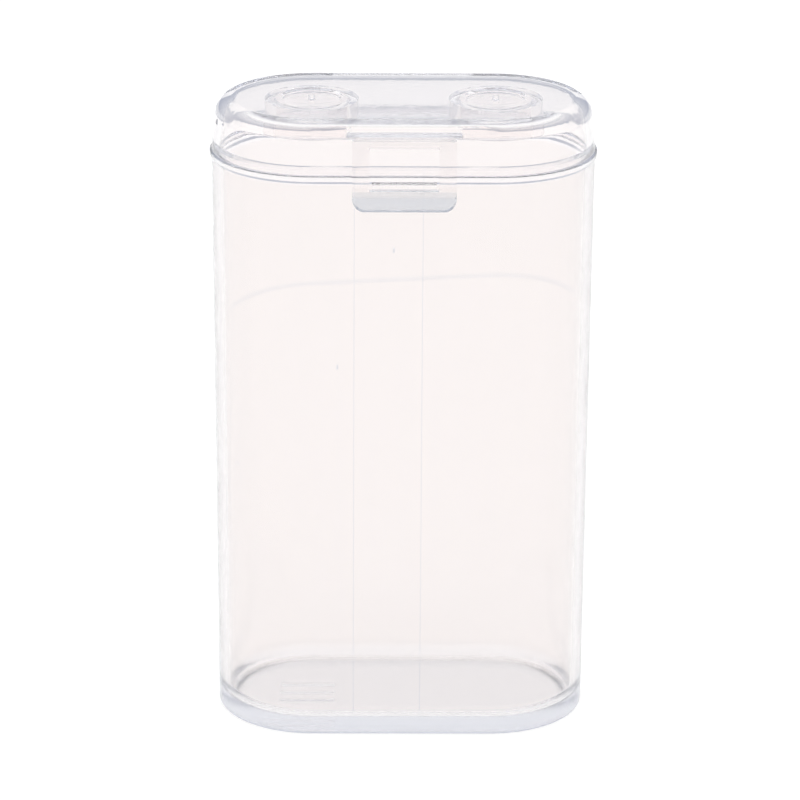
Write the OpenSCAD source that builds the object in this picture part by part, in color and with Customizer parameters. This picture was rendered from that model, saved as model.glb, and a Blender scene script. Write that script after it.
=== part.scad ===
// Storage box for two round battery cells, moulded in natural polypropylene: a deep case with
// round ends, a shallow lid on a living hinge at the back, and a latch flap on a film hinge at the front.
// Millimetres. +Z is up, the latch faces -Y, and the origin is at the middle of the base.

/* [Cells] */
// Distance between the centres of the two cells
cell_pitch = 20; // [16:0.5:30]

/* [Case body] */
// Outer radius of the round ends just under the flange
mouth_r = 11.33; // [11:0.01:14]
// Draft of the wall, in degrees, by which the case narrows towards its base
wall_draft = 0.33; // [0:0.01:1]
// Height of the parting line, where the lid meets the case
parting_z = 66.5; // [50:0.5:100]
// Thickness of the side wall
wall = 1.2; // [0.8:0.05:1.4]
// Thickness of the floor
floor_t = 1.45; // [1:0.05:3]
// Radius of the outer edge round the base
base_edge_r = 0.5; // [0.2:0.05:0.9]
// Radius between the floor and the wall inside
floor_fillet_r = 2; // [0.5:0.1:4]

/* [Flange and collar] */
// How far the flange stands out from the wall
flange_out = 0.22; // [0.1:0.01:0.6]
// Height of the flange
flange_h = 0.5; // [0.4:0.05:2]
// Height of the slope under the flange
flange_slope_h = 0.3; // [0.1:0.05:0.5]
// Thickness of the collar that the lid fits over
collar_t = 0.45; // [0.35:0.05:0.5]
// Height of the collar above the parting line
collar_h = 0.9; // [0.6:0.05:1.6]
// Clearance between the collar and the lid
collar_gap = 0.1; // [0.08:0.01:0.2]

/* [Catch] */
// Width of the catch at its root
catch_w = 7.1; // [4:0.1:9]
// Height of the catch below the flange
catch_h = 0.75; // [0.6:0.05:2]
// How far the catch stands out from the flange
catch_out = 0.75; // [0.4:0.05:0.9]
// Height of the ramp at the top of the catch
catch_ramp_h = 0.15; // [0.1:0.05:0.5]

/* [Floor ridges] */
// Number of ridges
ridge_count = 3; // [1:1:5]
// Length of a ridge
ridge_l = 6.2; // [2:0.1:9]
// Width of a ridge
ridge_w = 0.5; // [0.3:0.05:1]
// Height of a ridge
ridge_h = 0.2; // [0.1:0.05:0.5]
// Distance from one ridge to the next
ridge_step = 2.2; // [1.2:0.1:3]

/* [Lid] */
// Height of the lid above the parting line
lid_h = 6; // [5:0.1:8]
// How far the lid's lower edge stays inside the flange
lid_setback = 0.2; // [0.05:0.01:0.4]
// How far the skirt leans inwards up to the rounded edge
lid_taper = 0.45; // [0.1:0.01:0.6]
// Outer radius of the rounded top edge
lid_edge_r = 1.8; // [1.3:0.05:2.2]
// Thickness of the lid's top
lid_top_t = 1.15; // [0.9:0.05:1.6]
// Radius between the lid's top and its skirt inside
lid_inner_r = 1.3; // [0.6:0.1:2.6]
// Thickness of the skirt above the collar
skirt_t = 1.1; // [0.9:0.05:1.2]

/* [Locating rings] */
// Distance between the centres of the two rings
ring_pitch = 20.4; // [16:0.1:30]
// Outer diameter of a ring
ring_d = 10.4; // [7:0.1:12]
// Wall thickness of a ring
ring_t = 1.2; // [0.8:0.05:2]
// Depth of a ring below the lid's top plate
ring_h = 2.3; // [1:0.05:2.5]
// Diameter of the gate dimple over a ring
dimple_d = 6.4; // [3:0.1:7.5]
// Depth of the gate dimple
dimple_h = 0.4; // [0.2:0.05:0.6]
// Diameter of the gate nub in the dimple
nub_d = 0.9; // [0.5:0.05:1.5]

/* [Latch] */
// Width of the flap
latch_w = 11.36; // [8:0.1:14]
// Width of the window in the flap
window_w = 7.64; // [4.5:0.02:9.5]
// Thickness of the flap
latch_t = 0.82; // [0.6:0.02:1.1]
// Radius of the lower corners of the flap
latch_corner_r = 1.5; // [0.5:0.1:2]
// Height of the finger lip
lip_h = 1.55; // [1:0.05:3]
// How far the finger lip stands out from the flap
lip_out = 0.72; // [0.3:0.02:1.5]
// Gap between the flap and the flange
latch_gap = 0.12; // [0.08:0.01:0.3]
// Gap between the lip's top and the catch
catch_gap = 0.32; // [0.1:0.01:0.6]
// Height of the solid strip between the film and the window
window_head = 0.8; // [0.5:0.05:2]

/* [Living hinges] */
// Width of the front film
film_w = 11; // [6:0.1:13]
// Thickness of the front film
film_t = 0.34; // [0.24:0.02:0.4]
// Width of the ledge over the front film at its lower edge
ledge_w = 12.7; // [11.5:0.1:16]
// Width of the rear hinge
rear_w = 16; // [8:0.5:19]
// Thickness of the rear film
rear_film_t = 0.4; // [0.3:0.02:0.5]
// Height of each rear hinge leaf
leaf_h = 0.85; // [0.5:0.05:0.95]
// Running clearance beside a film
film_gap = 0.05; // [0.03:0.01:0.08]

/* [Hidden] */
$fn = 96;
case_tint = [0.93, 0.92, 0.93, 0.6];
lid_tint = [0.90, 0.90, 0.93, 0.6];
latch_tint = [0.86, 0.87, 0.91, 0.7];
// Amount by which a cutter runs past the face that it cuts, or a root sinks into its carrier
past = 0.3;
half_pitch = cell_pitch / 2;
flange_z = parting_z - flange_h;
flange_r = mouth_r + flange_out;
mouth_z = flange_z - flange_slope_h;
mouth_inner_r = mouth_r - wall;
collar_r = mouth_inner_r + collar_t;
collar_chamfer = collar_t / 3;
collar_z = parting_z + collar_h;
// Draft of the case wall, in radius for each millimetre of height
draft = tan(wall_draft);
base_r = mouth_r - draft * mouth_z;
lid_z = parting_z + lid_h;
skirt_r = flange_r - lid_setback;
edge_z = lid_z - lid_edge_r;
skirt_top_r = skirt_r - lid_taper;
skirt_lean = atan(lid_taper / (edge_z - parting_z));
edge_centre_r = skirt_top_r - lid_edge_r / cos(skirt_lean);
recess_r = collar_r + collar_gap;
recess_z = collar_z + collar_gap;
plate_z = lid_z - lid_top_t;
inner_edge_r = min(lid_inner_r, plate_z - recess_z);
ring_z = plate_z - ring_h;
ring_r = ring_d / 2;
// Front film: its axis runs along X just under the ledge on the lid
film_r = film_t / 2;
ledge_drop = 1.4;
ledge_face_h = 0.35;
ledge_chamfer = 0.1;
ledge_side_h = 0.2;
ledge_side_slant = 1;
ledge_z = lid_z - ledge_drop;
latch_axis_z = ledge_z - film_r - film_gap;
latch_top_z = latch_axis_z - film_r - film_gap;
latch_inner_top = skirt_top_r + lid_taper * (edge_z - latch_top_z) / (edge_z - parting_z) + latch_gap;
latch_outer_top = latch_inner_top + latch_t;
latch_axis_y = -(latch_outer_top - film_r);
latch_inner = flange_r + latch_gap;
latch_outer = latch_inner + latch_t;
catch_z = flange_z - catch_h;
lip_top_z = catch_z - catch_gap;
lip_slope_h = 0.35;
latch_z = lip_top_z - lip_slope_h - lip_h;
lip_outer = latch_outer + lip_out;
lip_chamfer = 0.3;
end_nub_r = 0.5;
end_nub_turn = 14;
end_nub_out = 0.2;
end_nub_z = edge_z - 0.55;
// Rear film: its axis runs along X behind the flange, level with the parting line
rear_film_r = rear_film_t / 2;
rear_reach = 0.3;
rear_axis_y = flange_r + rear_reach + rear_film_r + film_gap;
leaf_root = 0.1;
leaf_chamfer_h = 0.3;
// Middle of the first floor ridge, measured from the centre of the left cell
ridge_x = -0.7;
ridge_y = 0.4;

// Sweeps a profile (radius, height) round the outline of two half circles and two straight sides
module round_ended() {
    for (end = [0, 1])
        mirror([end, 0, 0])
            translate([half_pitch, 0, 0])
                rotate([0, 0, -90])
                    rotate_extrude(angle = 180)
                        children();
    for (side = [0, 1])
        mirror([0, side, 0])
            translate([-half_pitch, 0, 0])
                rotate([90, 0, 90])
                    linear_extrude(cell_pitch)
                        children();
}

// Extrudes a profile (y, z) along X, centred
module along_x(width) {
    translate([-width / 2, 0, 0])
        rotate([90, 0, 90])
            linear_extrude(width)
                children();
}

// Extrudes a front view (x, z) along Y from y0 to y1
module along_y(y0, y1) {
    translate([0, y1, 0])
        rotate([90, 0, 0])
            linear_extrude(y1 - y0)
                children();
}

// Profile of the case's outside, filled to the axis: base edge, drafted wall, flange and collar
module case_outside() {
    edge_r = base_r + draft * base_edge_r;
    union() {
        polygon([
            [0, 0],
            [edge_r - base_edge_r, 0],
            [edge_r - base_edge_r, base_edge_r],
            [edge_r, base_edge_r],
            [mouth_r, mouth_z],
            [flange_r, flange_z],
            [flange_r, parting_z],
            [collar_r, parting_z],
            [collar_r, collar_z - collar_chamfer],
            [collar_r - collar_chamfer, collar_z],
            [0, collar_z],
        ]);
        translate([edge_r - base_edge_r, base_edge_r])
            circle(base_edge_r);
    }
}

// Profile of the hollow, filled to the axis, with a round corner over the floor
module case_hollow() {
    corner_z = floor_t + floor_fillet_r;
    corner_r = base_r - wall + draft * corner_z;
    union() {
        polygon([
            [0, floor_t],
            [corner_r - floor_fillet_r, floor_t],
            [corner_r - floor_fillet_r, corner_z],
            [corner_r, corner_z],
            [mouth_inner_r, mouth_z],
            [mouth_inner_r, collar_z + past],
            [0, collar_z + past],
        ]);
        translate([corner_r - floor_fillet_r, corner_z])
            circle(floor_fillet_r);
    }
}

// Catch under the flange: a ramp on top, a plain face and a flat underside that holds the latch
module catch() {
    root = mouth_r - wall / 2;
    face = flange_r + catch_out;
    intersection() {
        along_x(catch_w)
            polygon([
                [-root, flange_z],
                [-flange_r, flange_z],
                [-face, flange_z - catch_ramp_h],
                [-face, catch_z],
                [-root, catch_z],
            ]);
        along_y(-face - past, -root)
            polygon([
                [-catch_w / 2, catch_z - past],
                [catch_w / 2, catch_z - past],
                [catch_w / 2, flange_z - catch_ramp_h],
                [catch_w / 2 - catch_ramp_h / 2, flange_z + past],
                [-catch_w / 2 + catch_ramp_h / 2, flange_z + past],
                [-catch_w / 2, flange_z - catch_ramp_h],
            ]);
    }
}

// Plain ridges on the floor under the left cell
module floor_ridges() {
    for (i = [0 : ridge_count - 1])
        translate([
            -half_pitch + ridge_x - ridge_l / 2,
            ridge_y - i * ridge_step - ridge_w / 2,
            floor_t - past,
        ])
            cube([ridge_l, ridge_w, ridge_h + past]);
}

// Fixed leaf of the rear hinge, on the back of the flange, with its end clear of the film
module case_leaf() {
    along_x(rear_w)
        polygon([
            [mouth_r - wall / 2, parting_z - leaf_h],
            [flange_r + leaf_root, parting_z - leaf_h],
            [rear_axis_y - rear_film_r - film_gap, parting_z - leaf_h + leaf_chamfer_h],
            [rear_axis_y - rear_film_r - film_gap, parting_z],
            [mouth_r - wall / 2, parting_z],
        ]);
}

module case_body() {
    color(case_tint)
        union() {
            difference() {
                round_ended() case_outside();
                round_ended() case_hollow();
            }
            catch();
            floor_ridges();
            case_leaf();
        }
}

// Profile of the lid's outside, filled to the axis, with its rounded top edge
module lid_outside() {
    union() {
        polygon([
            [0, parting_z],
            [skirt_r, parting_z],
            [
                edge_centre_r + lid_edge_r * cos(skirt_lean),
                edge_z + lid_edge_r * sin(skirt_lean),
            ],
            [edge_centre_r, edge_z],
            [edge_centre_r, lid_z],
            [0, lid_z],
        ]);
        translate([edge_centre_r, edge_z])
            circle(lid_edge_r);
    }
}

// Profile of the lid's hollow, filled to the axis: the recess over the collar, then the inner wall
module lid_hollow() {
    inner_z = plate_z - inner_edge_r;
    inner_r = skirt_top_r - skirt_t;
    low_r = min(recess_r, skirt_r - skirt_t);
    union() {
        polygon([
            [0, parting_z - past],
            [recess_r, parting_z - past],
            [recess_r, recess_z],
            [low_r, recess_z],
            [inner_r, inner_z],
            [inner_r - inner_edge_r, inner_z],
            [inner_r - inner_edge_r, plate_z],
            [0, plate_z],
        ]);
        translate([inner_r - inner_edge_r, inner_z])
            circle(inner_edge_r);
    }
}

// Ring that stands over a cell, open at the bottom
module ring() {
    translate([0, 0, ring_z])
        difference() {
            cylinder(h = ring_h + past, r = ring_r);
            translate([0, 0, -past])
                cylinder(h = ring_h + past, r = ring_r - ring_t);
        }
}

// Shallow dimple round the gate, to be cut out of the top
module dimple() {
    translate([0, 0, lid_z - dimple_h])
        cylinder(h = dimple_h + past, r1 = dimple_d / 2, r2 = dimple_d / 2 + past);
}

// Gate nub on the floor of the dimple
module gate_nub() {
    translate([0, 0, lid_z - dimple_h - past])
        cylinder(h = dimple_h / 2 + past, r = nub_d / 2);
}

// Ledge on the front of the lid that carries the latch film, wide below and narrower above
module latch_ledge() {
    face = latch_outer_top;
    root = edge_centre_r;
    top_z = lid_z - lid_edge_r / 4;
    intersection() {
        along_x(ledge_w)
            polygon([
                [-root, ledge_z],
                [-face + ledge_chamfer, ledge_z],
                [-face, ledge_z + ledge_chamfer],
                [-face, ledge_z + ledge_face_h],
                [-edge_centre_r - lid_edge_r / 2, top_z],
                [-root, top_z],
            ]);
        along_y(-face - past, -root)
            polygon([
                [-ledge_w / 2, ledge_z - past],
                [ledge_w / 2, ledge_z - past],
                [ledge_w / 2, ledge_z + ledge_side_h],
                [ledge_w / 2 - ledge_side_slant, top_z + past],
                [-ledge_w / 2 + ledge_side_slant, top_z + past],
                [-ledge_w / 2, ledge_z + ledge_side_h],
            ]);
    }
}

// Leaf of the rear hinge on the lid, with the film along its end
module lid_leaf() {
    along_x(rear_w)
        polygon([
            [skirt_r - skirt_t / 4, parting_z + film_gap],
            [rear_axis_y - film_gap, parting_z + film_gap],
            [rear_axis_y - film_gap, parting_z + rear_film_t],
            [flange_r + leaf_root, parting_z + leaf_h],
            [skirt_r - skirt_t / 4, parting_z + leaf_h],
        ]);
    translate([-rear_w / 2, rear_axis_y, parting_z])
        rotate([0, 90, 0])
            cylinder(h = rear_w, r = rear_film_r);
}

// Small flat nub on the left end of the lid, left by the mould
module end_nub() {
    translate([-half_pitch, 0, end_nub_z])
        rotate([0, 0, end_nub_turn])
            translate([-skirt_top_r + end_nub_r - end_nub_out, 0, 0])
                sphere(r = end_nub_r);
}

module lid() {
    color(lid_tint)
        union() {
            difference() {
                union() {
                    round_ended() lid_outside();
                    latch_ledge();
                }
                round_ended() lid_hollow();
                for (side = [-1, 1])
                    translate([side * ring_pitch / 2, 0, 0])
                        dimple();
            }
            for (side = [-1, 1])
                translate([side * ring_pitch / 2, 0, 0]) {
                    ring();
                    gate_nub();
                }
            end_nub();
            lid_leaf();
        }
}

// Side view of the flap: it leans with the skirt, hangs straight past the flange, and ends in the lip
module latch_side() {
    polygon([
        [-latch_inner_top, latch_top_z],
        [-latch_outer_top, latch_top_z],
        [-latch_outer, parting_z],
        [-latch_outer, lip_top_z],
        [-lip_outer, lip_top_z - lip_slope_h],
        [-lip_outer, latch_z + lip_chamfer],
        [-lip_outer + lip_chamfer, latch_z],
        [-latch_inner, latch_z],
        [-latch_inner, parting_z],
    ]);
}

// Front view of the flap with its rounded lower corners
module latch_front() {
    half = latch_w / 2;
    union() {
        polygon([
            [-half, latch_top_z],
            [-half, latch_z + latch_corner_r],
            [-half + latch_corner_r, latch_z + latch_corner_r],
            [-half + latch_corner_r, latch_z],
            [half - latch_corner_r, latch_z],
            [half - latch_corner_r, latch_z + latch_corner_r],
            [half, latch_z + latch_corner_r],
            [half, latch_top_z],
        ]);
        for (side = [-1, 1])
            translate([side * (half - latch_corner_r), latch_z + latch_corner_r])
                circle(latch_corner_r);
    }
}

// Film along the flap's upper edge, rounded about the hinge axis, with the web that joins it
module latch_film() {
    translate([-film_w / 2, latch_axis_y, latch_axis_z])
        rotate([0, 90, 0])
            cylinder(h = film_w, r = film_r);
    along_x(film_w)
        polygon([
            [latch_axis_y - film_r / 2, latch_top_z - past],
            [latch_axis_y + film_r / 2, latch_top_z - past],
            [latch_axis_y + film_r / 2, latch_axis_z],
            [latch_axis_y - film_r / 2, latch_axis_z],
        ]);
}

module latch() {
    color(latch_tint)
        union() {
            difference() {
                intersection() {
                    along_x(latch_w) latch_side();
                    along_y(-lip_outer - past, -latch_inner_top + past) latch_front();
                }
                translate([-window_w / 2, -lip_outer - past, lip_top_z])
                    cube([window_w, lip_outer - latch_inner_top + 2 * past, latch_top_z - window_head - lip_top_z]);
            }
            latch_film();
        }
}

case_body();
lid();
latch();
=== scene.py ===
"""Storage box for two round battery cells: its moulded shells, film hinges and milky clear plastic."""

import math

import bmesh
import bpy
from mathutils import Matrix, Vector


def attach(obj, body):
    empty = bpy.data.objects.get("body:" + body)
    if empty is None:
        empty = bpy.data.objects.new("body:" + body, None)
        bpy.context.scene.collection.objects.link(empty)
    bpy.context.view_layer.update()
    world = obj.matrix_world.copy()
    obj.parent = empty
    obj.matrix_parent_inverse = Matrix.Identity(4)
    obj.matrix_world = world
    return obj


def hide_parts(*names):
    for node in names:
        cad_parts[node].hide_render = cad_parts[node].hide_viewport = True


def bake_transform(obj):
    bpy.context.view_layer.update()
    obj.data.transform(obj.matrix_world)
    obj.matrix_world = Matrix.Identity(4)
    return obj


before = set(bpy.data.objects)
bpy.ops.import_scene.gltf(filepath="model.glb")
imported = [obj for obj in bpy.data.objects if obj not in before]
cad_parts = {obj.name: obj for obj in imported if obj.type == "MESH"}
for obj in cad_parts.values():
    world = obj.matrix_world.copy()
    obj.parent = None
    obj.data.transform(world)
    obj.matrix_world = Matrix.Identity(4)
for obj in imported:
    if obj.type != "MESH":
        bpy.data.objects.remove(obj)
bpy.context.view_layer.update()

# Lengths are in millimetres until a shape is made an object; points closer than WELD are one
MM = 0.001
WELD = 0.0005

# Outline: two half circles joined by straight sides
HALF_PITCH = 10.0
ARC_STEPS = 56

# Case
MOUTH_R = 11.33
WALL_DRAFT = 0.33
PARTING_Z = 66.5
WALL = 1.2
FLOOR_T = 1.45
BASE_EDGE_R = 0.5
FLOOR_FILLET_R = 2.0
FLANGE_OUT = 0.22
FLANGE_H = 0.5
FLANGE_SLOPE_H = 0.3
COLLAR_T = 0.45
COLLAR_H = 0.9
COLLAR_GAP = 0.1
COLLAR_SLOPE = 0.3
FLANGE_Z = PARTING_Z - FLANGE_H
MOUTH_Z = FLANGE_Z - FLANGE_SLOPE_H
BASE_R = MOUTH_R - MOUTH_Z * math.tan(math.radians(WALL_DRAFT))
FLANGE_R = MOUTH_R + FLANGE_OUT
MOUTH_INNER_R = MOUTH_R - WALL
COLLAR_R = MOUTH_INNER_R + COLLAR_T
COLLAR_Z = PARTING_Z + COLLAR_H

# Catch under the flange
CATCH_W = 7.1
CATCH_H = 0.75
CATCH_OUT = 0.75
CATCH_RAMP_H = 0.15
CATCH_Z = FLANGE_Z - CATCH_H

# Plain ridges on the floor
RIDGE_ROWS = 3
RIDGE_L = 6.2
RIDGE_W = 0.5
RIDGE_H = 0.2
RIDGE_STEP = 2.2
RIDGE_X = -10.7
RIDGE_Y = 0.4

# Lid
LID_H = 6.0
LID_Z = PARTING_Z + LID_H
LID_SETBACK = 0.2
LID_TAPER = 0.45
LID_EDGE_R = 1.8
LID_TOP_T = 1.15
LID_INNER_R = 1.3
SKIRT_T = 1.1
SKIRT_R = FLANGE_R - LID_SETBACK
SKIRT_TOP_R = SKIRT_R - LID_TAPER
EDGE_Z = LID_Z - LID_EDGE_R
PLATE_Z = LID_Z - LID_TOP_T
LID_CLEARANCE = 0.03

# Small nub on the left end of the lid
END_NUB_R = 0.5
END_NUB_TURN = 14.0
END_NUB_OUT = 0.2
END_NUB_DROP = 0.55
END_NUB_Z = EDGE_Z - END_NUB_DROP

# Locating rings and gate dimples
RING_X = 10.2
RING_R = 5.2
RING_T = 1.2
RING_H = 2.3
DIMPLE_R = 3.2
DIMPLE_H = 0.4
NUB_R = 0.45
NUB_FOOT_R = NUB_R * 0.9
NUB_FOOT_EDGE_R = 0.03
NUB_WAIST_R = NUB_R * 0.7
NUB_WAIST_EDGE_R = 0.05
NUB_WAIST_H = 0.2

# Latch flap
LATCH_W = 11.36
WINDOW_W = 7.64
LATCH_T = 0.82
LATCH_CORNER_R = 1.5
LIP_H = 1.55
LIP_OUT = 0.72
LIP_SLOPE_H = 0.59
LATCH_GAP = 0.12
CATCH_GAP = 0.08
WINDOW_HEAD = 0.8

# Ledge over the latch and the film hinges
LEDGE_W = 12.7
LEDGE_SIDE_SLANT = 1.0
LEDGE_DROP = 1.4
LEDGE_FACE_H = 0.35
LEDGE_Z = LID_Z - LEDGE_DROP
FILM_W = 11.0
FILM_T = 0.34
FILM_GAP = 0.05
FILM_STEPS = 8
LATCH_AXIS_Z = LEDGE_Z - FILM_T / 2 - FILM_GAP
LATCH_TOP_Z = LATCH_AXIS_Z - FILM_T / 2 - FILM_GAP
LATCH_TOP_R = SKIRT_TOP_R + LID_TAPER * (EDGE_Z - LATCH_TOP_Z) / (EDGE_Z - PARTING_Z) + LATCH_GAP
REAR_W = 16.0
REAR_FILM_T = 0.4
REAR_REACH = 0.3
REAR_AXIS_Y = FLANGE_R + REAR_REACH + REAR_FILM_T / 2 + FILM_GAP
LEAF_H = 0.85

# Roundings of moulded edges
FINE_R = 0.06
EDGE_R = 0.12
SOFT_R = 0.2

# How far a part sinks into what carries it, and how far a film runs into its two ends
ROOT = 0.3
OVERLAP = 0.02

# Plastic: refraction, fine lines along the draw, soft ripples of the mould, and how they act on bump, tint and haze
PLASTIC_IOR = 1.49
DRAG_SCALE = (1400, 1400, 18)
DRAG_HEIGHT = 1.5
DRAG_SHADE = 0.12
DRAG_ROUGHNESS = 0.03
RIPPLE_SCALE = 90.0
RIPPLE_HEIGHT = 4.0
RIPPLE_IN_HAZE = 0.2
HAZE_BASE = 0.9
BUMP_STRENGTH = 0.05
BUMP_DISTANCE = 0.00005
HAZE_FRONT_SHARE = 0.5

# Tint of the lines along the draw on every piece, of the marks on the case and of a painted reflection line across
# its back wall, with their places and strengths
MARK_AND_REFLECTION_TINT = (0.74, 0.76, 0.82, 1)
MARK_AND_REFLECTION_STRENGTH = 0.8
FRONT_FROM_Y = -5.0
FRONT_FULL_Y = -8.0
BACK_FROM_Y = 1.0
BACK_FULL_Y = 4.0
# Painted reflection: height, tilt and width of a faint dark line across the back wall
BACK_REFLECTION_Z = 47.8
BACK_REFLECTION_SLOPE = 0.05
BACK_REFLECTION_W = 0.16
FRONT_LINES_X = (-5.45, 2.1)
FRONT_LINE_W = 0.10
FRONT_LINE_STRENGTH = 0.4
SPECKS = ((-1.1, 58.0, 0.22), (-7.3, 44.4, 0.2), (-18.5, 31.7, 0.22))
SPECK_STRENGTH = 2.0

# Studio: the sky at the horizon, the sky above, the height where it is reached, and a floor that glows
SKY_LOW = (0.42, 0.45, 0.54, 1)
SKY_HIGH = (1.02, 1.02, 1.02, 1)
SKY_CLIMB = 0.6
FLOOR_RADIUS = 6.0
FLOOR_DROP = 0.00002
FLOOR_GREY = (0.25, 0.25, 0.25, 1)
FLOOR_GLOW = 0.85

# Positions of the factor, the two colours and the result in a colour mix
MIX_FACTOR = 0
MIX_FIRST = 6
MIX_SECOND = 7
MIX_RESULT = 2

# Camera, fitted to the photograph
EYE_DISTANCE = 500.6
EYE_ELEVATION = 19.79
EYE_TURN = 0.607
EYE_ROLL = -0.35
AIM = (-0.213, 0.0, 36.66)
FOCAL_PIXELS = 4408.0
PHOTO_WIDTH = 800
SENSOR_WIDTH = 36.0


def rounded(corners, steps=6):
    """Points of an outline from its corners (across, up, rounding), with an arc in place of each rounded corner."""
    points = []
    for i, (across, up, rounding) in enumerate(corners):
        corner = Vector((across, up))
        if rounding == 0:
            points.append(corner)
            continue
        back = (Vector(corners[i - 1][:2]) - corner).normalized()
        onward = (Vector(corners[(i + 1) % len(corners)][:2]) - corner).normalized()
        half = back.angle(onward) / 2
        centre = corner + (back + onward).normalized() * rounding / math.sin(half)
        reach = rounding / math.tan(half)
        first = corner + back * reach - centre
        bend = math.copysign(math.pi - 2 * half, back.cross(onward))
        points += [centre + Matrix.Rotation(-bend * k / steps, 2) @ first for k in range(steps + 1)]
    return points


def only(kind, geometry):
    """The vertices, edges or faces in what an operator returned."""
    return [part for part in geometry if isinstance(part, kind)]


def piece_from(shape, name):
    """An object in metres, made from a closed shape in millimetres, with its faces outwards."""
    bmesh.ops.remove_doubles(shape, verts=shape.verts, dist=WELD)
    bmesh.ops.dissolve_degenerate(shape, edges=shape.edges, dist=WELD)
    bmesh.ops.recalc_face_normals(shape, faces=shape.faces)
    bmesh.ops.scale(shape, vec=Vector((MM, MM, MM)), verts=shape.verts)
    mesh = bpy.data.meshes.new(name)
    shape.to_mesh(mesh)
    shape.free()
    piece = bpy.data.objects.new(name, mesh)
    bpy.context.scene.collection.objects.link(piece)
    return piece


def swept(corners, name):
    """A profile of (radius, height, rounding) carried round the outline of the box."""
    shape = bmesh.new()
    line = [shape.verts.new((HALF_PITCH, -r, z)) for r, z in rounded(corners, 8)]
    edges = [shape.edges.new(pair) for pair in zip(line, line[1:])]
    for side in (1, -1):
        turned = bmesh.ops.spin(
            shape, geom=edges, cent=(side * HALF_PITCH, 0, 0), axis=(0, 0, 1),
            angle=math.pi, steps=ARC_STEPS, use_merge=False, use_duplicate=False,
        )
        edges = only(bmesh.types.BMEdge, turned["geom_last"])
        straight = bmesh.ops.extrude_edge_only(shape, edges=edges)
        bmesh.ops.translate(
            shape, vec=(-side * 2 * HALF_PITCH, 0, 0),
            verts=only(bmesh.types.BMVert, straight["geom"]),
        )
        edges = only(bmesh.types.BMEdge, straight["geom"])
        edges = [e for e in edges if abs(e.verts[0].co.x - e.verts[1].co.x) < WELD]
    return piece_from(shape, name)


def lathed(corners, x, name):
    """A closed outline of (radius, height, rounding) turned about an upright line at x."""
    shape = bmesh.new()
    line = [shape.verts.new((x + r, 0, z)) for r, z in rounded(corners)]
    edges = [shape.edges.new((a, b)) for a, b in zip(line, line[1:] + line[:1])]
    bmesh.ops.spin(
        shape, geom=edges, cent=(x, 0, 0), axis=(0, 0, 1),
        angle=math.tau, steps=2 * ARC_STEPS, use_merge=True, use_duplicate=False,
    )
    return piece_from(shape, name)


def barred(corners, width, name, end_r=FINE_R):
    """A closed outline of (y, z, rounding) carried along X, centred, with softened ends."""
    shape = bmesh.new()
    ring = [shape.verts.new((-width / 2, y, z)) for y, z in rounded(corners)]
    start = shape.faces.new(ring)
    grown = bmesh.ops.extrude_face_region(shape, geom=[start])
    bmesh.ops.translate(shape, vec=(width, 0, 0), verts=only(bmesh.types.BMVert, grown["geom"]))
    rims = [e for e in shape.edges if abs(e.verts[0].co.x - e.verts[1].co.x) < WELD]
    if end_r:
        bmesh.ops.bevel(
            shape, geom=rims, offset=end_r, offset_type="OFFSET", segments=3,
            profile=0.5, affect="EDGES", material=-1, clamp_overlap=True,
        )
    return piece_from(shape, name)


def plated(corners, y0, y1, name):
    """A closed outline of (x, z, rounding) carried along Y from y0 to y1."""
    shape = bmesh.new()
    ring = [shape.verts.new((x, y0, z)) for x, z in rounded(corners)]
    start = shape.faces.new(ring)
    grown = bmesh.ops.extrude_face_region(shape, geom=[start])
    bmesh.ops.translate(shape, vec=(0, y1 - y0, 0), verts=only(bmesh.types.BMVert, grown["geom"]))
    return piece_from(shape, name)


def keep_result(piece):
    """Applies the modifiers of a piece to its mesh."""
    graph = bpy.context.evaluated_depsgraph_get()
    mesh = bpy.data.meshes.new_from_object(piece.evaluated_get(graph))
    piece.modifiers.clear()
    piece.data = mesh
    return piece


def combine(piece, operation, tools):
    """Joins, cuts or intersects a piece with the tools, which are used up."""
    for tool in tools:
        step = piece.modifiers.new(operation.title(), "BOOLEAN")
        step.operation = operation
        step.solver = "EXACT"
        step.object = tool
        keep_result(piece)
        bpy.data.objects.remove(tool)
    return piece


def smoothed(piece, angle=32):
    """Shades a piece smooth between its true edges, with flat faces kept flat."""
    mesh = piece.data
    mesh.shade_smooth()
    mesh.set_sharp_from_angle(angle=math.radians(angle))
    even = piece.modifiers.new("Even shading", "WEIGHTED_NORMAL")
    even.keep_sharp = True
    return keep_result(piece)


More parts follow.
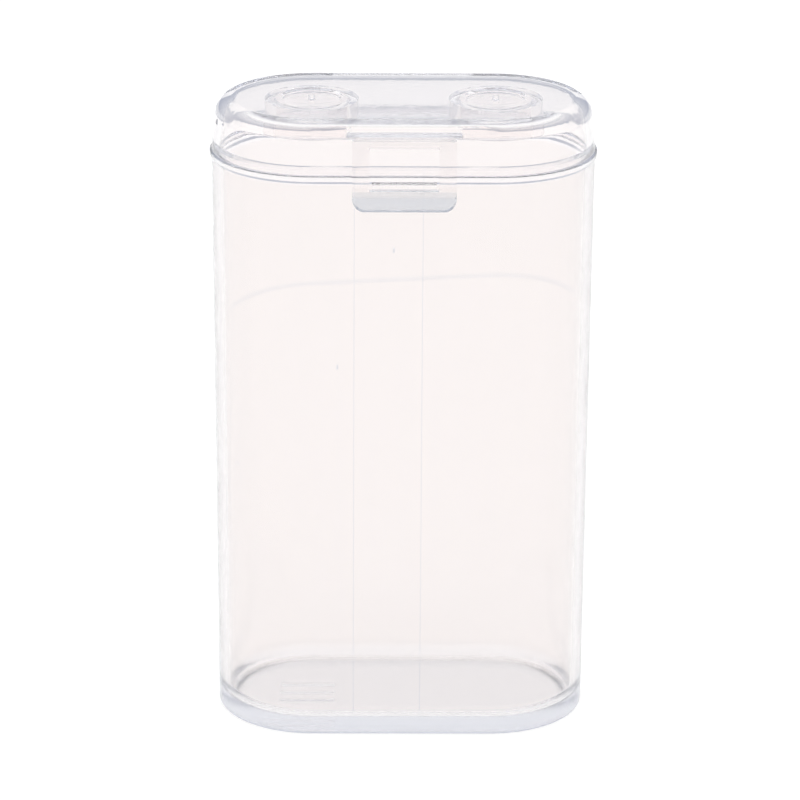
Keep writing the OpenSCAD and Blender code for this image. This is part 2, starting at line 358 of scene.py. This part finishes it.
def make_case():
    """Deep case with its floor, flange and collar, the catch, the floor ridges and the rear leaf."""
    case = swept(
        [
            (0, 0, 0),
            (BASE_R, 0, BASE_EDGE_R),
            (MOUTH_R, MOUTH_Z, EDGE_R),
            (FLANGE_R, FLANGE_Z, EDGE_R),
            (FLANGE_R, PARTING_Z, FINE_R),
            (COLLAR_R, PARTING_Z, FINE_R),
            (COLLAR_R, COLLAR_Z - COLLAR_SLOPE, FINE_R),
            (COLLAR_R - COLLAR_SLOPE, COLLAR_Z, FINE_R),
            (MOUTH_INNER_R, COLLAR_Z, FINE_R),
            (BASE_R - WALL, FLOOR_T, FLOOR_FILLET_R),
            (0, FLOOR_T, 0),
        ],
        "case_shell",
    )
    inside = -(MOUTH_R - WALL / 2)
    face = -(FLANGE_R + CATCH_OUT)
    catch = barred(
        [
            (inside, FLANGE_Z, 0),
            (-FLANGE_R, FLANGE_Z, 0),
            (face, FLANGE_Z - CATCH_RAMP_H, EDGE_R),
            (face, CATCH_Z, FINE_R),
            (inside, CATCH_Z, 0),
        ],
        CATCH_W, "catch", EDGE_R,
    )
    leaf_end = REAR_AXIS_Y - REAR_FILM_T / 2 - FILM_GAP
    leaf = barred(
        [
            (-inside, PARTING_Z - LEAF_H, 0),
            (FLANGE_R + EDGE_R, PARTING_Z - LEAF_H, FINE_R),
            (leaf_end, PARTING_Z - LEAF_H + ROOT, FINE_R),
            (leaf_end, PARTING_Z, FINE_R),
            (-inside, PARTING_Z - FINE_R, 0),
        ],
        REAR_W, "rear_leaf", EDGE_R,
    )
    ridges = []
    for row in range(RIDGE_ROWS):
        y = RIDGE_Y - row * RIDGE_STEP
        top = FLOOR_T + RIDGE_H
        ridge = barred(
            [
                (y - RIDGE_W / 2, FLOOR_T - ROOT, 0),
                (y + RIDGE_W / 2, FLOOR_T - ROOT, 0),
                (y + RIDGE_W / 2, top, FINE_R),
                (y - RIDGE_W / 2, top, FINE_R),
            ],
            RIDGE_L, f"ridge_{row}",
        )
        ridge.data.transform(Matrix.Translation((RIDGE_X * MM, 0, 0)))
        ridges.append(ridge)
    return smoothed(combine(case, "UNION", [catch, leaf] + ridges))


def make_end_nub():
    """Small round nub at the left end of the lid, turned a little towards the front."""
    shape = bmesh.new()
    bmesh.ops.create_uvsphere(shape, u_segments=24, v_segments=16, radius=END_NUB_R)
    turn = math.radians(END_NUB_TURN)
    reach = SKIRT_TOP_R + END_NUB_OUT - END_NUB_R
    place = Vector((-HALF_PITCH - reach * math.cos(turn), -reach * math.sin(turn), END_NUB_Z))
    bmesh.ops.translate(shape, vec=place, verts=shape.verts)
    return piece_from(shape, "end_nub")


def make_lid():
    """Shallow lid with its rounded top edge, rings, dimples, latch ledge and rear leaf."""
    recess_r = COLLAR_R + COLLAR_GAP
    recess_z = COLLAR_Z + COLLAR_GAP
    low_z = PARTING_Z + LID_CLEARANCE
    lean = LID_TAPER / (EDGE_Z - PARTING_Z)
    lid = swept(
        [
            (0, LID_Z, 0),
            (SKIRT_TOP_R - lean * LID_EDGE_R, LID_Z, LID_EDGE_R),
            (SKIRT_R, low_z, EDGE_R),
            (recess_r, low_z, FINE_R),
            (recess_r, recess_z - (recess_r - SKIRT_R + SKIRT_T), FINE_R),
            (SKIRT_R - SKIRT_T, recess_z, EDGE_R),
            (SKIRT_TOP_R - SKIRT_T, PLATE_Z - LID_INNER_R, 0),
            (SKIRT_TOP_R - SKIRT_T, PLATE_Z, LID_INNER_R),
            (0, PLATE_Z, 0),
        ],
        "lid_shell",
    )
    root = -(SKIRT_TOP_R - LID_EDGE_R)
    outer_top = LATCH_TOP_R + LATCH_T
    top_z = LID_Z - LID_EDGE_R / 4
    ledge = barred(
        [
            (root, LEDGE_Z, 0),
            (-outer_top, LEDGE_Z, FINE_R),
            (-outer_top, LEDGE_Z + LEDGE_FACE_H, SOFT_R),
            (-(SKIRT_TOP_R - LID_EDGE_R / 2), top_z, 0),
            (root, top_z, 0),
        ],
        LEDGE_W, "ledge", 0,
    )
    half = LEDGE_W / 2
    front = plated(
        [
            (-half, LEDGE_Z - ROOT, 0),
            (half, LEDGE_Z - ROOT, 0),
            (half, LEDGE_Z + SOFT_R, SOFT_R),
            (half - LEDGE_SIDE_SLANT, top_z + ROOT, 0),
            (-half + LEDGE_SIDE_SLANT, top_z + ROOT, 0),
            (-half, LEDGE_Z + SOFT_R, SOFT_R),
        ],
        -outer_top - ROOT, root + ROOT, "ledge_front",
    )
    combine(ledge, "INTERSECT", [front])
    leaf_z = PARTING_Z + FILM_GAP
    leaf = barred(
        [
            (SKIRT_R - SKIRT_T / 4, leaf_z, 0),
            (REAR_AXIS_Y - FILM_GAP, leaf_z, FINE_R),
            (REAR_AXIS_Y - FILM_GAP, PARTING_Z + REAR_FILM_T, FINE_R),
            (FLANGE_R + EDGE_R, PARTING_Z + LEAF_H, FINE_R),
            (SKIRT_R - SKIRT_T / 4, PARTING_Z + LEAF_H, 0),
        ],
        REAR_W, "lid_leaf", EDGE_R,
    )
    added = [ledge, leaf, make_end_nub()]
    for x in (-RING_X, RING_X):
        ring = lathed(
            [
                (RING_R - RING_T, PLATE_Z + ROOT, 0),
                (RING_R - RING_T, PLATE_Z - RING_H, FINE_R),
                (RING_R, PLATE_Z - RING_H, FINE_R),
                (RING_R, PLATE_Z + ROOT, 0),
            ],
            x, "ring",
        )
        added.append(ring)
    combine(lid, "UNION", added)
    dimples = []
    for x in (-RING_X, RING_X):
        low = LID_Z - DIMPLE_H
        dimples.append(
            lathed(
                [
                    (NUB_R, LID_Z + ROOT, 0),
                    (NUB_WAIST_R, low + NUB_WAIST_H, NUB_WAIST_EDGE_R),
                    (NUB_FOOT_R, low, NUB_FOOT_EDGE_R),
                    (DIMPLE_R, low, SOFT_R),
                    (DIMPLE_R + ROOT, LID_Z + ROOT, 0),
                ],
                x, "dimple",
            )
        )
    combine(lid, "DIFFERENCE", dimples)
    return smoothed(lid)


def make_latch():
    """Flap with its window, side strips and finger lip."""
    inner_top = LATCH_TOP_R
    inner = FLANGE_R + LATCH_GAP
    outer = inner + LATCH_T
    lip_top = CATCH_Z - CATCH_GAP
    low = lip_top - LIP_SLOPE_H - LIP_H
    lip_outer = outer + LIP_OUT
    flap = barred(
        [
            (-inner_top, LATCH_TOP_Z, FINE_R),
            (-inner_top - LATCH_T, LATCH_TOP_Z, FINE_R),
            (-outer, PARTING_Z, 0),
            (-outer, lip_top, FINE_R),
            (-lip_outer, lip_top - LIP_SLOPE_H, EDGE_R),
            (-lip_outer, low, SOFT_R),
            (-inner, low, FINE_R),
            (-inner, PARTING_Z, 0),
        ],
        LATCH_W, "latch_flap", 0,
    )
    half = LATCH_W / 2
    front = plated(
        [
            (-half, LATCH_TOP_Z + ROOT, 0),
            (-half, low, LATCH_CORNER_R),
            (half, low, LATCH_CORNER_R),
            (half, LATCH_TOP_Z + ROOT, 0),
        ],
        -lip_outer - ROOT, -inner_top + ROOT, "latch_front",
    )
    window = plated(
        [
            (-WINDOW_W / 2, lip_top, EDGE_R),
            (WINDOW_W / 2, lip_top, EDGE_R),
            (WINDOW_W / 2, LATCH_TOP_Z - WINDOW_HEAD, EDGE_R),
            (-WINDOW_W / 2, LATCH_TOP_Z - WINDOW_HEAD, EDGE_R),
        ],
        -lip_outer - ROOT, -inner_top + ROOT, "latch_window",
    )
    combine(flap, "INTERSECT", [front])
    combine(flap, "DIFFERENCE", [window])
    return smoothed(flap)


def make_latch_film():
    """Thin film from the ledge on the lid down to the flap, in steps so that it can bend."""
    face = -(LATCH_TOP_R + LATCH_T)
    low = LATCH_TOP_Z - OVERLAP
    levels = [low + (LEDGE_Z + OVERLAP - low) * k / FILM_STEPS for k in range(FILM_STEPS + 1)]
    outline = [(face, z, 0) for z in levels] + [(face + FILM_T, z, 0) for z in reversed(levels)]
    return smoothed(barred(outline, FILM_W, "latch_film", 0))


def make_rear_film():
    """Thin film at the back, folded round the hinge line from the leaf of the case to the leaf of the lid."""
    reach = REAR_FILM_T / 2
    inner = FILM_GAP
    foot = REAR_AXIS_Y - reach - FILM_GAP - OVERLAP
    head = REAR_AXIS_Y - FILM_GAP - OVERLAP
    bends = [math.pi * (k / FILM_STEPS - 0.5) for k in range(FILM_STEPS + 1)]
    outer = [(REAR_AXIS_Y + reach * math.cos(a), PARTING_Z + reach * math.sin(a), 0) for a in bends]
    inward = [(REAR_AXIS_Y + inner * math.cos(a), PARTING_Z + inner * math.sin(a), 0) for a in reversed(bends)]
    outline = [(foot, PARTING_Z - reach, 0)] + outer + [(head, PARTING_Z + reach, 0)]
    outline += [(head, PARTING_Z + inner, 0)] + inward + [(foot, PARTING_Z - inner, 0)]
    return smoothed(barred(outline, REAR_W, "rear_film", 0))


class Maths:
    """A shader socket with the operators that the materials use, each adding its Math node."""

    def __init__(self, build, socket):
        self.build = build
        self.socket = socket

    def _with(self, operation, first, second):
        return self.build.add("ShaderNodeMath", {"operation": operation}, {0: first, 1: second})

    def __add__(self, other):
        return self._with("ADD", self, other)

    __radd__ = __add__

    def __mul__(self, other):
        return self._with("MULTIPLY", self, other)

    __rmul__ = __mul__

    def __sub__(self, other):
        return self._with("SUBTRACT", self, other)

    def __rsub__(self, other):
        return self._with("SUBTRACT", other, self)


class Build:
    """A material or world whose nodes are added one call at a time."""

    def __init__(self, owner):
        owner.use_nodes = True
        self.owner = owner
        self.tree = owner.node_tree
        self.tree.nodes.clear()

    def add(self, kind, settings=None, inputs=None, output=0):
        """Adds a node, sets it, feeds its sockets from values or wrapped sockets, and wraps one output."""
        node = self.tree.nodes.new(kind)
        for name, value in (settings or {}).items():
            setattr(node, name, value)
        for key, value in (inputs or {}).items():
            if isinstance(value, Maths):
                self.tree.links.new(value.socket, node.inputs[key])
            else:
                node.inputs[key].default_value = value
        return Maths(self, node.outputs[output]) if len(node.outputs) else None

    def rise(self, value, start, end):
        """Grows smoothly from 0 to 1 while a value goes from start to end."""
        return self.add(
            "ShaderNodeMapRange", {"interpolation_type": "SMOOTHSTEP"},
            {"Value": value, "From Min": start, "From Max": end, "To Min": 0.0, "To Max": 1.0},
        )

    def mix(self, share, first, second):
        """Mixes two colours, with a share of the second from 0 to 1."""
        return self.add(
            "ShaderNodeMix", {"data_type": "RGBA"}, {MIX_FACTOR: share, MIX_FIRST: first, MIX_SECOND: second},
            MIX_RESULT,
        )

    def line(self, value, width):
        """Is 1 where a value is 0, and falls to 0 at the given width on both sides."""
        away = self.add("ShaderNodeMath", {"operation": "ABSOLUTE"}, {0: value})
        return 1.0 - self.rise(away, 0.0, width)


def case_marks_and_reflection(build, x, y, z):
    """Faint marks on the case, two upright lines and three specks in front, and a painted reflection: a faint line
    across the back wall.
    """
    front = build.rise(y, FRONT_FROM_Y * MM, FRONT_FULL_Y * MM)
    back = build.rise(y, BACK_FROM_Y * MM, BACK_FULL_Y * MM)
    # Painted reflection: a faint dark line across the back wall, a little tilted
    marks_and_reflection = back * build.line(z - x * BACK_REFLECTION_SLOPE - BACK_REFLECTION_Z * MM, BACK_REFLECTION_W * MM)
    for at in FRONT_LINES_X:
        marks_and_reflection = marks_and_reflection + front * build.line(x - at * MM, FRONT_LINE_W * MM) * FRONT_LINE_STRENGTH
    for at_x, at_z, size in SPECKS:
        speck = build.line(x - at_x * MM, size * MM) * build.line(z - at_z * MM, size * MM)
        marks_and_reflection = marks_and_reflection + front * speck * SPECK_STRENGTH
    return marks_and_reflection


def moulded(name, roughness, plain, painted_shade, shade_zones, milk, depth, marks_and_reflection=None):
    """Milky clear polypropylene: glass-like, with a haze, a tint in its depth, fine lines along the draw, soft
    ripples from the mould, and any marks of its own, where the case also has a painted reflection line. Plain and
    the painted shade pair each give a clear tint and the share of the haze; the painted shade pair takes over from
    the first to the second height of each zone."""
    material = bpy.data.materials.new(name)
    build = Build(material)
    place = build.add("ShaderNodeTexCoord", output="Object")
    x, y, z = (build.add("ShaderNodeSeparateXYZ", {}, {0: place}, axis) for axis in "XYZ")
    along = build.add("ShaderNodeMapping", {}, {"Vector": place, "Scale": DRAG_SCALE})
    drag = build.add("ShaderNodeTexNoise", {}, {"Vector": along, "Scale": 1.0, "Detail": 3.0}, "Fac")
    ripple = build.add("ShaderNodeTexNoise", {}, {"Vector": place, "Scale": RIPPLE_SCALE, "Detail": 2.0}, "Fac")
    bump = build.add(
        "ShaderNodeBump", {},
        {
            "Height": drag * DRAG_HEIGHT + ripple * RIPPLE_HEIGHT,
            "Strength": BUMP_STRENGTH,
            "Distance": BUMP_DISTANCE,
        },
    )
    # Painted shade: across each zone, by height, the plastic turns to its bluer second tint and haze
    shade_share = sum(build.rise(z, first * MM, second * MM) for first, second in shade_zones)
    clear = build.mix(shade_share, plain[0], painted_shade[0])
    shade = (drag - 0.5) * DRAG_SHADE
    if marks_and_reflection:
        # Marks join the drag lines in the tint here, with the painted reflection line on the back of the case
        shade = shade + marks_and_reflection(build, x, y, z) * MARK_AND_REFLECTION_STRENGTH
    clear = build.mix(shade, clear, MARK_AND_REFLECTION_TINT)
    glass = build.add(
        "ShaderNodeBsdfPrincipled", {},
        {
            "Base Color": clear,
            "Roughness": roughness + drag * DRAG_ROUGHNESS,
            "IOR": PLASTIC_IOR,
            "Transmission Weight": 1.0,
            "Normal": bump,
        },
    )
    behind = build.add("ShaderNodeBsdfTranslucent", {}, {"Color": milk, "Normal": bump})
    before = build.add("ShaderNodeBsdfDiffuse", {}, {"Color": milk, "Normal": bump})
    haze = build.add("ShaderNodeMixShader", {}, {0: HAZE_FRONT_SHARE, 1: behind, 2: before})
    share = (plain[1] + shade_share * (painted_shade[1] - plain[1])) * (ripple * RIPPLE_IN_HAZE + HAZE_BASE)
    surface = build.add("ShaderNodeMixShader", {}, {0: share, 1: glass, 2: haze})
    inside = build.add("ShaderNodeVolumeAbsorption", {}, {"Color": depth[0], "Density": depth[1]})
    build.add("ShaderNodeOutputMaterial", {}, {"Surface": surface, "Volume": inside})
    return material


def dress(piece, material):
    """Gives a piece its one material."""
    piece.data.materials.clear()
    piece.data.materials.append(material)
    return piece


def make_camera():
    """Camera at the place from which the photograph was taken."""
    lens = bpy.data.cameras.new("camera")
    lens.sensor_width = SENSOR_WIDTH
    lens.lens = SENSOR_WIDTH * FOCAL_PIXELS / PHOTO_WIDTH
    lens.clip_start = 0.01
    lens.clip_end = 50
    camera = bpy.data.objects.new("camera", lens)
    bpy.context.scene.collection.objects.link(camera)
    tilt = math.radians(EYE_ELEVATION)
    roll = math.radians(EYE_ROLL)
    ahead = Vector((0, math.cos(tilt), -math.sin(tilt)))
    level = Vector((1, 0, 0))
    upright = Vector((0, math.sin(tilt), math.cos(tilt)))
    right = math.cos(roll) * level - math.sin(roll) * upright
    up = math.sin(roll) * level + math.cos(roll) * upright
    eye = Vector(AIM) * MM - ahead * EYE_DISTANCE * MM
    place = Matrix((right, up, -ahead)).transposed().to_4x4()
    place.translation = eye
    camera.matrix_world = Matrix.Rotation(-math.radians(EYE_TURN), 4, "Z") @ place
    bpy.context.scene.camera = camera


def make_studio():
    """Pale glowing floor that runs out of sight, under a bright sky that is darker and bluer near the horizon."""
    world = bpy.data.worlds.new("studio")
    bpy.context.scene.world = world
    build = Build(world)
    place = build.add("ShaderNodeTexCoord", output="Generated")
    climb = build.rise(build.add("ShaderNodeSeparateXYZ", {}, {0: place}, "Z"), 0.0, SKY_CLIMB)
    sky = build.add("ShaderNodeBackground", {}, {"Color": build.mix(climb, SKY_LOW, SKY_HIGH), "Strength": 1.0})
    build.add("ShaderNodeOutputWorld", {}, {"Surface": sky})

    shape = bmesh.new()
    bmesh.ops.create_circle(shape, cap_ends=True, segments=96, radius=FLOOR_RADIUS)
    mesh = bpy.data.meshes.new("floor")
    shape.to_mesh(mesh)
    shape.free()
    floor = bpy.data.objects.new("floor", mesh)
    bpy.context.scene.collection.objects.link(floor)
    floor.location.z = -FLOOR_DROP
    paint = bpy.data.materials.new("floor_white")
    build = Build(paint)
    matt = build.add("ShaderNodeBsdfDiffuse", {}, {"Color": FLOOR_GREY})
    glow = build.add("ShaderNodeEmission", {}, {"Color": (1, 1, 1, 1), "Strength": FLOOR_GLOW})
    lit = build.add("ShaderNodeAddShader", {}, {0: matt, 1: glow})
    build.add("ShaderNodeOutputMaterial", {}, {"Surface": lit})
    floor.data.materials.append(paint)


make_camera()
make_studio()

# The second tint and haze of each plastic is painted shade: on the case at its floor and from just under the flange
# up, on the lid at its top, and on the latch at its lip
case_plastic = moulded(
    "case_plastic", roughness=0.08,
    plain=((0.995, 0.960, 0.945, 1), 0.045), painted_shade=((0.985, 0.977, 0.986, 1), 0.004),
    shade_zones=[(2.9, 1.4), (65.2, 65.8)],
    milk=(0.88, 0.93, 1.0, 1), depth=((0.70, 0.77, 0.94, 1), 8.0), marks_and_reflection=case_marks_and_reflection,
)
lid_plastic = moulded(
    "lid_plastic", roughness=0.02,
    plain=((0.990, 0.968, 0.962, 1), 0.006), painted_shade=((0.985, 0.972, 0.975, 1), 0.003),
    shade_zones=[(71.5, 72.3)],
    milk=(0.93, 0.95, 1.0, 1), depth=((0.6, 0.7, 0.9, 1), 5.0),
)
latch_plastic = moulded(
    "latch_plastic", roughness=0.04,
    plain=((0.995, 0.980, 0.975, 1), 0.006), painted_shade=((0.93, 0.96, 0.99, 1), 0.17),
    shade_zones=[(64.9, 64.5)],
    milk=(0.78, 0.86, 0.95, 1), depth=((0.6, 0.7, 0.9, 1), 2.0),
)

case = dress(make_case(), case_plastic)
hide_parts("case_body")
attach(case, "case")

lid = dress(make_lid(), lid_plastic)
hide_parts("lid")
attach(lid, "lid")

latch = dress(make_latch(), latch_plastic)
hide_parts("latch")
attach(latch, "latch")

latch_film = dress(make_latch_film(), lid_plastic)
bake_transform(latch_film)

rear_film = dress(make_rear_film(), case_plastic)
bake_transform(rear_film)

scene = bpy.context.scene
scene.view_settings.view_transform = "Standard"
scene.cycles.max_bounces = 32
scene.cycles.transmission_bounces = 32
scene.cycles.glossy_bounces = 32
scene.cycles.diffuse_bounces = 12
scene.cycles.transparent_max_bounces = 16
scene.cycles.use_denoising = True
